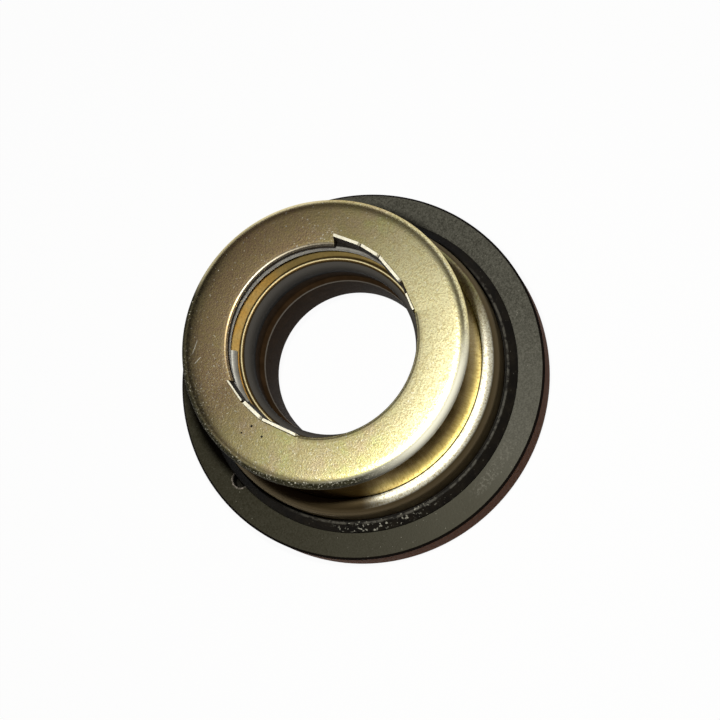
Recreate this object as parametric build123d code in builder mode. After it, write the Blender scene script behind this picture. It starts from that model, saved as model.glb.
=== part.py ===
from build123d import *
import math
import os

# Rotating head of an elastomer-bellows mechanical shaft seal, in millimetres.
# +Z runs along the shaft, from the lapped sealing face (z = 0) up to the spring cup.
# Radii grow outwards from the bore of the rubber neck, each piece seated on the one before.

# Bellows: neck that grips the shaft, one fold, web over the hub, flange and lip
NECK_BORE_RADIUS = 10.6
NECK_WALL = 2.0
NECK_CHAMFER = 0.25
NECK_TIP_WALL = 0.9
NECK_TIP_SINK = 0.1
GRIP_LENGTH = 6.5
GROOVE_DEPTH = 0.6
GROOVE_LENGTH = 2.6
BEAD_SETBACK = 0.15
FOLD_GAP = 1.6
FOLD_WALL = 0.8
FOLD_RISE = 1.0
FOLD_BITE = 0.1
WEB_THICKNESS = 0.8
SOCKET_WALL = 1.71
FLANGE_WIDTH = 1.6
FLANGE_THICKNESS = 0.8
FLANGE_ROUND = 0.35
LIP_WIDTH = 0.4
LIP_HEIGHT = 0.45

# Coil spring between the spring seat and the cup
WIRE_DIAMETER = 1.5
SPRING_CLEARANCE = 0.15
SPRING_HEIGHT = 4.8
SPRING_TURNS = 1.5
SPRING_START_ANGLE = 131.5

# Spring seat: top-hat pressing with a collar round the neck of the bellows
SEAT_HEIGHT = 12.0
SEAT_SHEET = 0.6
SEAT_ROUND = 1.3
SEAT_LEDGE = 3.2
COLLAR_HEIGHT = 0.7

# Spring cup: flat face, bead round its edge, skirt that slides in the shell
CUP_SHEET = 0.7
CUP_BEAD_PROUD = 0.65
CUP_BEAD_DROP = 1.5
CUP_BEAD_HEIGHT = 3.2
CUP_FACE_SETBACK = 0.7
CUP_HOLE_RADIUS = 12.1
CUP_HOLE_ROUND = 0.3
CUP_CORNER_ROUND = 0.9

# Lips torn up round the cup's hole: angle, and reach beyond the hole, of each corner
UPPER_TEAR = [(35.0, 1.4), (19.0, 0.95), (6.0, 0.75), (346.0, 0.4), (327.0, 0.35)]
LOWER_TEAR = [(155.0, 0.6), (170.5, 0.3), (186.0, 0.25), (209.5, 0.35)]
TEAR_SHEET = 0.38
TEAR_RISE = 1.2
TEAR_ROOT = 1.6
NICK_LENGTH = 1.5
NICK_WIDTH = 0.3
NICK_DEPTH = 0.6

# Shell: drawn sheet, its mouth rolled in over the spring cup
SHELL_HEIGHT = 5.4
SHELL_SHEET = 0.55
SHELL_ROUND = 1.75
SHELL_ROLL_WIDTH = 1.95

# Seal ring: flat flange, lapped nose below, hub above that sits in the rubber
RING_MARGIN = 3.5
RING_THICKNESS = 5.0
RING_BORE_GAP = 3.4
RING_CHAMFER = 0.3
NOSE_STEP = 1.5
NOSE_WIDTH = 4.0
NOSE_HEIGHT = 0.8
HUB_CHAMFER = 0.3

# Drive notch in the flange of the seal ring, and the rubber lug that fills it
NOTCH_ANGLE = 173.0
NOTCH_RADIUS = 1.15
NOTCH_INSET = 0.15
NOTCH_DEPTH = 2.0
NOTCH_CHAMFER = 0.15
LUG_CLEARANCE = 0.25
LUG_PROUD = 0.3

# Clearances between mating pieces, and the travel of the cup
SLIDE_CLEARANCE = 0.15
SEAT_CLEARANCE = 0.02
STOP_CLEARANCE = 0.05
TRAVEL = 1.0
TRAVEL_MARGIN = 0.1

# Radii of the neck, then of the seat's hole and the spring round it
NECK_RADIUS = NECK_BORE_RADIUS + NECK_WALL
GROOVE_RADIUS = NECK_BORE_RADIUS + GROOVE_DEPTH
BEAD_RADIUS = NECK_BORE_RADIUS + BEAD_SETBACK
FOLD_RADIUS = NECK_RADIUS - FOLD_BITE + FOLD_WALL + FOLD_GAP / 2
SEAT_HOLE_RADIUS = NECK_BORE_RADIUS + NECK_TIP_WALL
COLLAR_RADIUS = SEAT_HOLE_RADIUS + SEAT_SHEET
SPRING_RADIUS = COLLAR_RADIUS + SPRING_CLEARANCE + WIRE_DIAMETER / 2

# Radii of the walls, from the spring seat out to the shell
SEAT_RADIUS = SPRING_RADIUS + WIRE_DIAMETER / 2 + SEAT_LEDGE
SEAT_BORE = SEAT_RADIUS - SEAT_SHEET
CUP_BORE = SEAT_RADIUS + SLIDE_CLEARANCE
CUP_SKIRT_RADIUS = CUP_BORE + CUP_SHEET
CUP_BEAD_RADIUS = CUP_SKIRT_RADIUS + CUP_BEAD_PROUD
CUP_FACE_RADIUS = CUP_SKIRT_RADIUS - CUP_FACE_SETBACK
SHELL_MOUTH = CUP_SKIRT_RADIUS + SLIDE_CLEARANCE
SHELL_RADIUS = SHELL_MOUTH + SHELL_ROLL_WIDTH
SHELL_BORE = SHELL_RADIUS - SHELL_SHEET
ROLL_RADIUS = SHELL_ROUND - SHELL_SHEET
CUP_FLANGE_RADIUS = SHELL_BORE - SLIDE_CLEARANCE

# Radii of the socket, the rubber flange and the seal ring under them
SOCKET_RADIUS = SHELL_BORE - SEAT_CLEARANCE
SOCKET_BORE = SOCKET_RADIUS - SOCKET_WALL
HUB_RADIUS = SOCKET_BORE - SEAT_CLEARANCE
FLANGE_RADIUS = SHELL_RADIUS + FLANGE_WIDTH
NOTCH_CENTRE_RADIUS = FLANGE_RADIUS - NOTCH_INSET
RING_RADIUS = FLANGE_RADIUS + RING_MARGIN
RING_BORE_RADIUS = NECK_BORE_RADIUS + RING_BORE_GAP
NOSE_INNER_RADIUS = RING_BORE_RADIUS + NOSE_STEP
NOSE_OUTER_RADIUS = NOSE_INNER_RADIUS + NOSE_WIDTH

# Levels of the seal ring and the shell; the cup's flange stops in the rolled mouth
RING_TOP = NOSE_HEIGHT + RING_THICKNESS
FLANGE_TOP = RING_TOP + FLANGE_THICKNESS
SHELL_TOP = FLANGE_TOP + SHELL_HEIGHT
SHELL_CEILING = SHELL_TOP - SHELL_SHEET
ROLL_REACH = CUP_FLANGE_RADIUS - (SHELL_BORE - ROLL_RADIUS)
ROLL_DROP = ROLL_RADIUS - math.sqrt(ROLL_RADIUS ** 2 - ROLL_REACH ** 2)
CUP_FLANGE_TOP = SHELL_CEILING - ROLL_DROP - STOP_CLEARANCE
CUP_BOTTOM = CUP_FLANGE_TOP - CUP_SHEET

# Levels that leave room for the travel of the cup, then the spring above them
SEAT_FLANGE_TOP = CUP_BOTTOM - TRAVEL - TRAVEL_MARGIN
WEB_TOP = SEAT_FLANGE_TOP - SEAT_SHEET
HUB_TOP = WEB_TOP - WEB_THICKNESS
SEAT_FLOOR = WEB_TOP + SEAT_HEIGHT
SEAT_CEILING = SEAT_FLOOR - SEAT_SHEET
COLLAR_TOP = SEAT_FLOOR + COLLAR_HEIGHT
CUP_CEILING = SEAT_FLOOR + SPRING_HEIGHT
CUP_TOP = CUP_CEILING + CUP_SHEET


def around(angle, radius):
    """Point at an angle and a distance from the shaft axis."""
    return (radius * math.cos(math.radians(angle)), radius * math.sin(math.radians(angle)))


def corner(radius, level):
    """Vertex of the profile being drawn that lies nearest to a point."""
    return vertices().sort_by_distance((radius, level, 0))[0]


# Seal ring, turned in one piece
with BuildPart() as seal_ring:
    with BuildSketch(Plane.XZ):
        with BuildLine():
            Polyline(
                (RING_BORE_RADIUS, NOSE_HEIGHT),
                (NOSE_INNER_RADIUS, NOSE_HEIGHT),
                (NOSE_INNER_RADIUS, 0),
                (NOSE_OUTER_RADIUS, 0),
                (NOSE_OUTER_RADIUS, NOSE_HEIGHT),
                (RING_RADIUS, NOSE_HEIGHT),
                (RING_RADIUS, RING_TOP),
                (HUB_RADIUS, RING_TOP),
                (HUB_RADIUS, HUB_TOP),
                (RING_BORE_RADIUS, HUB_TOP),
                close=True,
            )
        make_face()
        chamfer([corner(RING_RADIUS, NOSE_HEIGHT), corner(RING_RADIUS, RING_TOP)], RING_CHAMFER)
        chamfer([corner(HUB_RADIUS, HUB_TOP), corner(RING_BORE_RADIUS, HUB_TOP)], HUB_CHAMFER)
    revolve(axis=Axis.Z)
    with BuildSketch(Plane.XY.offset(RING_TOP)):
        with Locations(around(NOTCH_ANGLE, NOTCH_CENTRE_RADIUS)):
            Circle(NOTCH_RADIUS)
    extrude(amount=-NOTCH_DEPTH, mode=Mode.SUBTRACT)
    rim = edges().filter_by(GeomType.CIRCLE).filter_by(lambda e: abs(e.radius - NOTCH_RADIUS) < NOTCH_CHAMFER)
    chamfer(rim.group_by(Axis.Z)[-1], NOTCH_CHAMFER)

# Rubber bellows, moulded in one piece
with BuildPart() as bellows:
    grip_top = HUB_TOP + GRIP_LENGTH
    groove_bottom = grip_top + GROOVE_DEPTH
    groove_top = groove_bottom + GROOVE_LENGTH
    neck_tip = SEAT_FLOOR - NECK_TIP_SINK
    neck_tip_radius = SEAT_HOLE_RADIUS - SEAT_CLEARANCE
    fold_centre = WEB_TOP + FOLD_RISE
    fold_inside = FOLD_RADIUS - FOLD_GAP / 2
    fold_outside = FOLD_RADIUS + FOLD_GAP / 2
    lip_radius = SHELL_RADIUS + SLIDE_CLEARANCE
    with BuildSketch(Plane.XZ):
        # Neck, with the step above its grip, a groove and the bead at its tip
        with BuildLine():
            bore = Polyline(
                (NECK_RADIUS, HUB_TOP),
                (NECK_BORE_RADIUS, HUB_TOP),
                (NECK_BORE_RADIUS, grip_top),
                (GROOVE_RADIUS, groove_bottom),
                (GROOVE_RADIUS, groove_top),
            )
            bead = ThreePointArc(
                bore @ 1,
                (BEAD_RADIUS, (groove_top + neck_tip) / 2),
                (neck_tip_radius, neck_tip),
            )
            Polyline(
                bead @ 1,
                (neck_tip_radius, SEAT_CEILING),
                (NECK_RADIUS, SEAT_CEILING),
                (NECK_RADIUS, HUB_TOP),
            )
        make_face()
        # Foot of the neck, the arch of the fold, and the web over the hub
        with Locations((NECK_RADIUS, HUB_TOP)):
            Rectangle(fold_inside - NECK_RADIUS, fold_centre - HUB_TOP, align=Align.MIN)
        with BuildLine():
            CenterArc((FOLD_RADIUS, fold_centre), FOLD_GAP / 2, 0, 180)
            CenterArc((FOLD_RADIUS, fold_centre), FOLD_GAP / 2 + FOLD_WALL, 0, 180)
            Line((fold_outside, fold_centre), (fold_outside + FOLD_WALL, fold_centre))
            Line((fold_inside, fold_centre), (fold_inside - FOLD_WALL, fold_centre))
        make_face()
        with Locations((fold_outside, HUB_TOP)):
            Rectangle(FOLD_WALL, fold_centre - HUB_TOP, align=Align.MIN)
            Rectangle(SOCKET_RADIUS - fold_outside, WEB_THICKNESS, align=Align.MIN)
        # Socket round the hub, the flange on the seal ring, and the lip round the shell
        with Locations((SOCKET_BORE, RING_TOP)):
            Rectangle(SOCKET_RADIUS - SOCKET_BORE, HUB_TOP - RING_TOP, align=Align.MIN)
            Rectangle(lip_radius - SOCKET_BORE, FLANGE_THICKNESS, align=Align.MIN)
        with BuildLine():
            Polyline(
                (lip_radius, RING_TOP),
                (lip_radius, FLANGE_TOP + LIP_HEIGHT),
                (lip_radius + LIP_WIDTH, FLANGE_TOP + LIP_HEIGHT),
                (FLANGE_RADIUS, RING_TOP + FLANGE_ROUND),
                (FLANGE_RADIUS, RING_TOP),
                close=True,
            )
        make_face()
        fillet(corner(FLANGE_RADIUS, RING_TOP + FLANGE_ROUND), FLANGE_ROUND)
        chamfer(corner(NECK_BORE_RADIUS, HUB_TOP), NECK_CHAMFER)
    revolve(axis=Axis.Z)
    with BuildSketch(Plane.XY.offset(RING_TOP - NOTCH_DEPTH + LUG_CLEARANCE)):
        with Locations(around(NOTCH_ANGLE, NOTCH_CENTRE_RADIUS)):
            Circle(NOTCH_RADIUS - LUG_CLEARANCE)
    extrude(amount=NOTCH_DEPTH - LUG_CLEARANCE + LUG_PROUD)

# Shell, drawn cup with a rolled-in mouth
with BuildPart() as shell:
    with BuildSketch(Plane.XZ):
        with BuildLine():
            Polyline(
                (SHELL_BORE, FLANGE_TOP),
                (SHELL_RADIUS, FLANGE_TOP),
                (SHELL_RADIUS, SHELL_TOP),
                (SHELL_MOUTH, SHELL_TOP),
                (SHELL_MOUTH, SHELL_CEILING),
                (SHELL_BORE, SHELL_CEILING),
                close=True,
            )
        make_face()
        fillet(corner(SHELL_RADIUS, SHELL_TOP), SHELL_ROUND)
        fillet(corner(SHELL_BORE, SHELL_CEILING), SHELL_ROUND - SHELL_SHEET)
    revolve(axis=Axis.Z)

# Spring seat, top-hat pressing held between the bellows and the shell
with BuildPart() as spring_seat:
    with BuildSketch(Plane.XZ):
        with BuildLine():
            Polyline(
                (SEAT_BORE, WEB_TOP),
                (SOCKET_RADIUS, WEB_TOP),
                (SOCKET_RADIUS, SEAT_FLANGE_TOP),
                (SEAT_RADIUS, SEAT_FLANGE_TOP),
                (SEAT_RADIUS, SEAT_FLOOR),
                (COLLAR_RADIUS, SEAT_FLOOR),
                (COLLAR_RADIUS, COLLAR_TOP),
                (SEAT_HOLE_RADIUS, COLLAR_TOP),
                (SEAT_HOLE_RADIUS, SEAT_CEILING),
                (SEAT_BORE, SEAT_CEILING),
                close=True,
            )
        make_face()
        fillet(corner(SEAT_RADIUS, SEAT_FLOOR), SEAT_ROUND)
        fillet(corner(SEAT_BORE, SEAT_CEILING), SEAT_ROUND - SEAT_SHEET)
        fillet(corner(COLLAR_RADIUS, SEAT_FLOOR), SEAT_SHEET / 2)
    revolve(axis=Axis.Z)

# Spring cup, drawn sheet with the torn lips left standing on its hole
with BuildPart() as spring_cup:
    with BuildSketch(Plane.XZ):
        with BuildLine():
            face = Polyline(
                (CUP_BORE, CUP_CEILING),
                (CUP_HOLE_RADIUS, CUP_CEILING),
                (CUP_HOLE_RADIUS, CUP_TOP),
                (CUP_FACE_RADIUS, CUP_TOP),
            )
            edge = TangentArc(
                face @ 1,
                (CUP_BEAD_RADIUS, CUP_TOP - CUP_BEAD_DROP),
                tangent=face % 1,
            )
            neck = TangentArc(
                edge @ 1,
                ((CUP_BEAD_RADIUS + CUP_SKIRT_RADIUS) / 2, CUP_TOP - (CUP_BEAD_DROP + CUP_BEAD_HEIGHT) / 2),
                tangent=edge % 1,
            )
            foot = TangentArc(
                neck @ 1,
                (CUP_SKIRT_RADIUS, CUP_TOP - CUP_BEAD_HEIGHT),
                tangent=neck % 1,
            )
            Polyline(
                foot @ 1,
                (CUP_SKIRT_RADIUS, CUP_FLANGE_TOP),
                (CUP_FLANGE_RADIUS, CUP_FLANGE_TOP),
                (CUP_FLANGE_RADIUS, CUP_BOTTOM),
                (CUP_BORE, CUP_BOTTOM),
                (CUP_BORE, CUP_CEILING),
            )
        make_face()
        fillet(corner(CUP_BORE, CUP_CEILING), CUP_CORNER_ROUND)
        fillet(corner(CUP_HOLE_RADIUS, CUP_TOP), CUP_HOLE_ROUND)
    revolve(axis=Axis.Z)
    for tear in (UPPER_TEAR, LOWER_TEAR):
        throat, inner, outer, root = (
            [around(angle, CUP_HOLE_RADIUS + reach + offset) for angle, reach in tear]
            for offset in (-TEAR_ROOT, -TEAR_SHEET, 0, TEAR_ROOT)
        )
        # Sheet at the foot of the lip, the lip itself, then the hole up to the lip's inside
        with BuildSketch(Plane.XY.offset(CUP_CEILING)):
            with BuildLine():
                Polyline(*root, *reversed(inner), close=True)
            make_face()
        extrude(amount=CUP_SHEET)
        with BuildSketch(Plane.XY.offset(CUP_CEILING)):
            with BuildLine():
                Polyline(*outer, *reversed(inner), close=True)
            make_face()
        extrude(amount=CUP_SHEET + TEAR_RISE)
        with BuildSketch(Plane.XY.offset(CUP_CEILING)):
            with BuildLine():
                Polyline(*inner, *reversed(throat), close=True)
            make_face()
        extrude(amount=CUP_SHEET + TEAR_RISE, mode=Mode.SUBTRACT)
        for angle, reach in tear[1:-1]:
            with BuildSketch(Plane.XY.offset(CUP_TOP + TEAR_RISE)):
                with Locations(around(angle, CUP_HOLE_RADIUS + reach)):
                    Rectangle(NICK_LENGTH, NICK_WIDTH, rotation=angle)
            extrude(amount=-NICK_DEPTH, mode=Mode.SUBTRACT)

# Coil spring, right-hand, with plain cut ends
with BuildPart() as spring:
    wire_level = SEAT_FLOOR + SEAT_CLEARANCE + WIRE_DIAMETER / 2
    rise = SPRING_HEIGHT - WIRE_DIAMETER - 2 * SEAT_CLEARANCE
    with BuildLine(Plane.XY.offset(wire_level).rotated((0, 0, SPRING_START_ANGLE))) as coil:
        Helix(rise / SPRING_TURNS, rise, SPRING_RADIUS)
    with BuildSketch(Plane(origin=coil.line @ 0, z_dir=coil.line % 0)):
        Circle(WIRE_DIAMETER / 2)
    sweep(path=coil.line, is_frenet=True)

os.makedirs("parts", exist_ok=True)
seal_ring.part.label = "seal_ring"
export_step(seal_ring.part, "parts/seal_ring.step")
bellows.part.label = "bellows"
export_step(bellows.part, "parts/bellows.step")
shell.part.label = "shell"
export_step(shell.part, "parts/shell.step")
spring_seat.part.label = "spring_seat"
export_step(spring_seat.part, "parts/spring_seat.step")
spring_cup.part.label = "spring_cup"
export_step(spring_cup.part, "parts/spring_cup.step")
spring.part.label = "spring"
export_step(spring.part, "parts/spring.step")
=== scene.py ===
import math

import bpy
from mathutils import Matrix, Vector


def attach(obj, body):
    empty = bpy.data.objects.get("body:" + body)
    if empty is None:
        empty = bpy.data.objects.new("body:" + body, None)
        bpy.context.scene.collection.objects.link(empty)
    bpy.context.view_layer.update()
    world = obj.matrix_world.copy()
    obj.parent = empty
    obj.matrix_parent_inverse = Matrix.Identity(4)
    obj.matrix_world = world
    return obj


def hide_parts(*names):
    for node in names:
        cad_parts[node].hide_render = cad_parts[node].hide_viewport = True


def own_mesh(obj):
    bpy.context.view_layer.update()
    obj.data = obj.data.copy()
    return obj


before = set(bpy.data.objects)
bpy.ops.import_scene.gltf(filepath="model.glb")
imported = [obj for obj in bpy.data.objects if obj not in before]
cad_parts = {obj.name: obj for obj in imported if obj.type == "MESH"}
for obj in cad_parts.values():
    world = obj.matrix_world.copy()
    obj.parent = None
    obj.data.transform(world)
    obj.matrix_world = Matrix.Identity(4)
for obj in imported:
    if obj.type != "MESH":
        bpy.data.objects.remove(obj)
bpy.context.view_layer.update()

# Rotating head of a rubber-bellows mechanical seal, seen from above and a little to one side.
# Sizes are in millimetres, and MM turns them into metres. +Z runs from the lapped face to the cup.
MM = 0.001

# ---------------------------------------------------------------- sizes of the pieces
# They are the CAD pieces' own, but for the shell's mouth and the thickness of the torn lips' facets
RING_RADIUS = 25.0
RING_TOP = 5.8
RING_BORE = 14.0
RING_EDGE = 0.3
NOSE_OUTER = 19.5
NOSE_INNER = 15.5
NOSE_HEIGHT = 0.8
HUB_RADIUS = 17.6
HUB_TOP = 7.581
NOTCH_ANGLE = 173.0
NOTCH_RADIUS = 1.15
NOTCH_CENTRE = 21.35
NOTCH_DEPTH = 2.0

SHELL_RADIUS = 19.9
SHELL_SHEET = 0.55
SHELL_FOOT = 6.6
SHELL_TOP = 12.0
SHELL_ROUND = 1.75
SHELL_MOUTH = 17.85

SEAT_HOLE = 11.5
SEAT_SHEET = 0.6
SEAT_RADIUS = 16.95
SEAT_FLANGE = 19.33
SEAT_FOOT = 8.381
SEAT_FLOOR = 20.381
SEAT_ROUND = 1.3
COLLAR_TOP = 21.081

CUP_SKIRT = 17.8
CUP_SHEET = 0.7
CUP_FLANGE = 19.2
CUP_FLANGE_TOP = 10.781
CUP_CEILING = 25.181
CUP_TOP = 25.881
CUP_HOLE = 12.1
CUP_FACE = 17.1
CUP_BEAD = 18.45
CUP_BEAD_LEVEL = 24.381
CUP_NECK_LEVEL = 22.681
LIP_TOP = 27.081
UPPER_LIP = [(35.0, 13.5), (19.0, 13.05), (6.0, 12.85), (-14.0, 12.5), (-33.0, 12.45)]
UPPER_LIP_SHEET = [0.38, 0.38, 0.36, 0.22]
LOWER_LIP = [(155.0, 12.7), (170.5, 12.4), (186.0, 12.35), (209.5, 12.45)]
LOWER_LIP_SHEET = [0.20, 0.42, 0.34]

WIRE_DIAMETER = 1.5
SPRING_RADIUS = 13.0
SPRING_TURNS = 1.5
SPRING_START = 131.5
SPRING_LOW = 20.401
SPRING_HIGH = 25.161

NECK_BORE = 10.6
NECK_RADIUS = 12.6
GRIP_TOP = 14.081
GROOVE_RADIUS = 11.2
GROOVE_TOP = 17.281
BEAD_RADIUS = 10.75
NECK_TIP = 20.281
FLANGE_RADIUS = 21.5
LIP_LEVEL = 7.05
FOLD_RADIUS = 14.1
FOLD_LEVEL = 9.381
FOLD_HALF_GAP = 0.8
FOLD_WALL = 0.8

SMOOTH_ANGLE = math.radians(32)


# ---------------------------------------------------------------- mesh helpers
def polar(angle, radius, level):
    """Point in metres from an angle in degrees and two sizes in millimetres."""
    turn = math.radians(angle)
    return Vector((radius * math.cos(turn), radius * math.sin(turn), level)) * MM


def rounded(corners, steps):
    """Closed outline from corners (radius, level, round); each round becomes an arc."""
    outline = []
    for i, (r, z, fillet) in enumerate(corners):
        here = Vector((r, z))
        if not fillet:
            outline.append((r, z))
            continue
        before = (Vector(corners[i - 1][:2]) - here).normalized()
        after = (Vector(corners[(i + 1) % len(corners)][:2]) - here).normalized()
        half = before.angle(after) / 2
        reach = fillet / math.tan(half)
        centre = here + (before + after).normalized() * fillet / math.sin(half)
        start = here + before * reach - centre
        end = here + after * reach - centre
        turn = start.angle(end)
        for k in range(steps + 1):
            t = k / steps
            spoke = (start * math.sin((1 - t) * turn) + end * math.sin(t * turn)) / math.sin(turn)
            outline.append(tuple(centre + spoke))
    return outline


def make_object(name, points, faces, material, smooth=True):
    """Mesh object at the origin, with its sharp edges found by angle."""
    mesh = bpy.data.meshes.new(name)
    mesh.from_pydata([tuple(p) for p in points], [], faces)
    mesh.validate()
    mesh.materials.append(material)
    if smooth:
        mesh.shade_smooth()
        mesh.set_sharp_from_angle(angle=SMOOTH_ANGLE)
    piece = bpy.data.objects.new(name, mesh)
    bpy.context.scene.collection.objects.link(piece)
    return piece


def lathe(name, section, segments, material):
    """Closed body of revolution; section(angle) gives its outline at each angle."""
    rows = []
    for i in range(segments):
        angle = 360 * i / segments
        rows.append([polar(angle, r, z) for r, z in section(angle)])
    count = len(rows[0])
    faces = []
    for i in range(segments):
        j = (i + 1) % segments
        for k in range(count):
            m = (k + 1) % count
            faces.append((i * count + k, j * count + k, j * count + m, i * count + m))
    return make_object(name, [p for row in rows for p in row], faces, material)


def dress(piece, body, node):
    """The piece stands for a CAD node, which it hides, and moves with its body."""
    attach(piece, body)
    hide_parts(node)


# ---------------------------------------------------------------- material helpers
NO_TINT = (1, 1, 1, 1)
GRAIN_SPAN = (0.3, 0.7)


class Shader:
    """One procedural material, with its coordinates in millimetres."""

    def __init__(self, name):
        self.material = bpy.data.materials.new(name)
        self.material.use_nodes = True
        self.nodes = self.material.node_tree.nodes
        self.links = self.material.node_tree.links
        self.surface = self.nodes["Principled BSDF"]
        place = self.nodes.new("ShaderNodeTexCoord").outputs["Object"]
        self.place = self.vector("SCALE", place, scale=1 / MM)
        split = self.nodes.new("ShaderNodeSeparateXYZ")
        self.links.new(self.place, split.inputs[0])
        self.x, self.y, self.z = split.outputs
        squares = self.math("ADD", self.times(self.x, self.x), self.times(self.y, self.y))
        self.radius = self.math("SQRT", squares)
        self.turn = self.math("ARCTAN2", self.y, self.x)

    def put(self, socket, value):
        """Link a socket to another one, or set its value."""
        if isinstance(value, bpy.types.NodeSocket):
            self.links.new(value, socket)
        else:
            socket.default_value = value

    def math(self, operation, a, b=0.0):
        node = self.nodes.new("ShaderNodeMath")
        node.operation = operation
        self.put(node.inputs[0], a)
        self.put(node.inputs[1], b)
        return node.outputs[0]

    def times(self, a, b):
        return self.math("MULTIPLY", a, b)

    def most(self, a, b):
        return self.math("MAXIMUM", a, b)

    def inverse(self, mask):
        return self.math("SUBTRACT", 1.0, mask)

    def vector(self, operation, a, b=(0, 0, 0), scale=1.0):
        node = self.nodes.new("ShaderNodeVectorMath")
        node.operation = operation
        self.put(node.inputs[0], a)
        if operation == "SCALE":
            node.inputs["Scale"].default_value = scale
        else:
            self.put(node.inputs[1], b)
        return node.outputs[0]

    def distance(self, point):
        """Distance in millimetres from a fixed point, also given in millimetres."""
        node = self.nodes.new("ShaderNodeVectorMath")
        node.operation = "DISTANCE"
        self.links.new(self.place, node.inputs[0])
        node.inputs[1].default_value = point
        return node.outputs["Value"]

    def dot(self, vector, direction):
        """Length of a linked vector along a fixed direction."""
        node = self.nodes.new("ShaderNodeVectorMath")
        node.operation = "DOT_PRODUCT"
        self.links.new(vector, node.inputs[0])
        node.inputs[1].default_value = direction
        return node.outputs["Value"]

    def combine(self, x, y, z):
        node = self.nodes.new("ShaderNodeCombineXYZ")
        for socket, value in zip(node.inputs, (x, y, z)):
            self.put(socket, value)
        return node.outputs[0]

    def around(self, across, along, up):
        """Coordinates that follow the turning: radius, arc on the unit circle and level, each scaled."""
        unit_x = self.math("COSINE", self.turn)
        unit_y = self.math("SINE", self.turn)
        flat = self.combine(unit_x, unit_y, 0.0)
        flat = self.vector("SCALE", flat, scale=along)
        lift = self.combine(self.times(self.radius, across), 0.0, self.times(self.z, up))
        return self.vector("ADD", flat, lift)

    def noise(self, scale, detail=2.0, rough=0.5, place=None, seed=0.0):
        node = self.nodes.new("ShaderNodeTexNoise")
        node.noise_dimensions = "4D"
        self.links.new(place or self.place, node.inputs["Vector"])
        node.inputs["W"].default_value = seed
        node.inputs["Scale"].default_value = scale
        node.inputs["Detail"].default_value = detail
        node.inputs["Roughness"].default_value = rough
        return node.outputs["Fac"]

    def ramp(self, value, low, high, out_low=0.0, out_high=1.0, smooth=False):
        """Value taken from low..high to out_low..out_high, and held at both ends."""
        node = self.nodes.new("ShaderNodeMapRange")
        node.interpolation_type = "SMOOTHSTEP" if smooth else "LINEAR"
        for socket, number in zip(node.inputs, (value, low, high, out_low, out_high)):
            self.put(socket, number)
        return node.outputs[0]

    def mix(self, factor, a, b):
        node = self.nodes.new("ShaderNodeMix")
        node.data_type = "RGBA"
        self.put(node.inputs[0], factor)
        self.put(node.inputs[6], a)
        self.put(node.inputs[7], b)
        return node.outputs[2]

    def patches(self, noise, a, b, low=0.4, high=0.6):
        """Two colours in patches of a noise."""
        return self.mix(self.ramp(noise, low, high), a, b)

    def roughness(self, grain, low, high):
        """Roughness that follows the grain."""
        return self.ramp(grain, *GRAIN_SPAN, low, high)

    def band(self, value, low, high, edge):
        """1 between two limits, falling to 0 over an edge on each side."""
        rise = self.ramp(value, low - edge, low, smooth=True)
        fall = self.ramp(value, high, high + edge, 1.0, 0.0, smooth=True)
        return self.times(rise, fall)

    def sector(self, middle, half, edge):
        """1 within half degrees of an angle round the axis, falling to 0 over an edge in degrees."""
        toward = math.radians(middle)
        across = self.times(self.math("COSINE", self.turn), math.cos(toward))
        along = self.times(self.math("SINE", self.turn), math.sin(toward))
        outer = math.cos(math.radians(half + edge))
        inner = math.cos(math.radians(half))
        return self.ramp(self.math("ADD", across, along), outer, inner, smooth=True)

    def bump(self, height, distance, after=None):
        """Bump of a height in millimetres, on top of another bump if one is given."""
        node = self.nodes.new("ShaderNodeBump")
        self.put(node.inputs["Height"], height)
        node.inputs["Distance"].default_value = distance * MM
        if after is not None:
            self.links.new(after, node.inputs["Normal"])
        return node.outputs[0]

    def finish(self, colour, roughness, normal, metallic=0.0, specular=0.5, tint=NO_TINT):
        self.put(self.surface.inputs["Base Color"], colour)
        self.put(self.surface.inputs["Roughness"], roughness)
        self.put(self.surface.inputs["Metallic"], metallic)
        self.surface.inputs["Specular IOR Level"].default_value = specular
        self.surface.inputs["Specular Tint"].default_value = tint
        self.links.new(normal, self.surface.inputs["Normal"])
        return self.material


# ---------------------------------------------------------------- materials
# Plated sheet of the cup and the shell
ZINC_YELLOW = (0.78, 0.70, 0.38, 1)
ZINC_GREEN = (0.74, 0.74, 0.34, 1)
ZINC_ROSE = (0.78, 0.66, 0.42, 1)
# Painted shade (brown) and painted light (pale gold) on two sides of the cup's face
ZINC_SHADE_BROWN = (0.54, 0.38, 0.24, 1)
ZINC_LIT_PALE = (0.97, 0.92, 0.58, 1)
ZINC_OLIVE = (0.11, 0.11, 0.065, 1)
ZINC_GRAIN = (0.34, 0.27, 0.11, 1)
ZINC_TINT = (0.86, 0.76, 0.54, 1)
# Painted shade for the bead's flank on the side away from the lamp
BEAD_SHADE_DARK = (0.016, 0.015, 0.008, 1)
BEAD_SHADE_PALE = (0.060, 0.055, 0.030, 1)
# Painted highlight on the bead's flank towards the lamp
BEAD_HIGHLIGHT = (0.97, 0.95, 0.80, 1)
# Painted glints on the cup's face, also the colour of its scratches
GLINT_BRIGHT = (0.95, 0.92, 0.78, 1)
SKIRT_YELLOW = (0.86, 0.76, 0.32, 1)
# Painted shade on the cup's skirt
SKIRT_SHADE_BROWN = (0.17, 0.11, 0.04, 1)
# Painted highlight line on the bead's outer flank
BEAD_LINE_HIGHLIGHT = (0.80, 0.72, 0.45, 1)
ROLLED_GREY = (0.24, 0.21, 0.16, 1)
BLACK_SPECK = (0.01, 0.01, 0.008, 1)
TORN_DULL = (0.84, 0.79, 0.62, 1)
TORN_BRIGHT = (0.95, 0.92, 0.79, 1)
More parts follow.
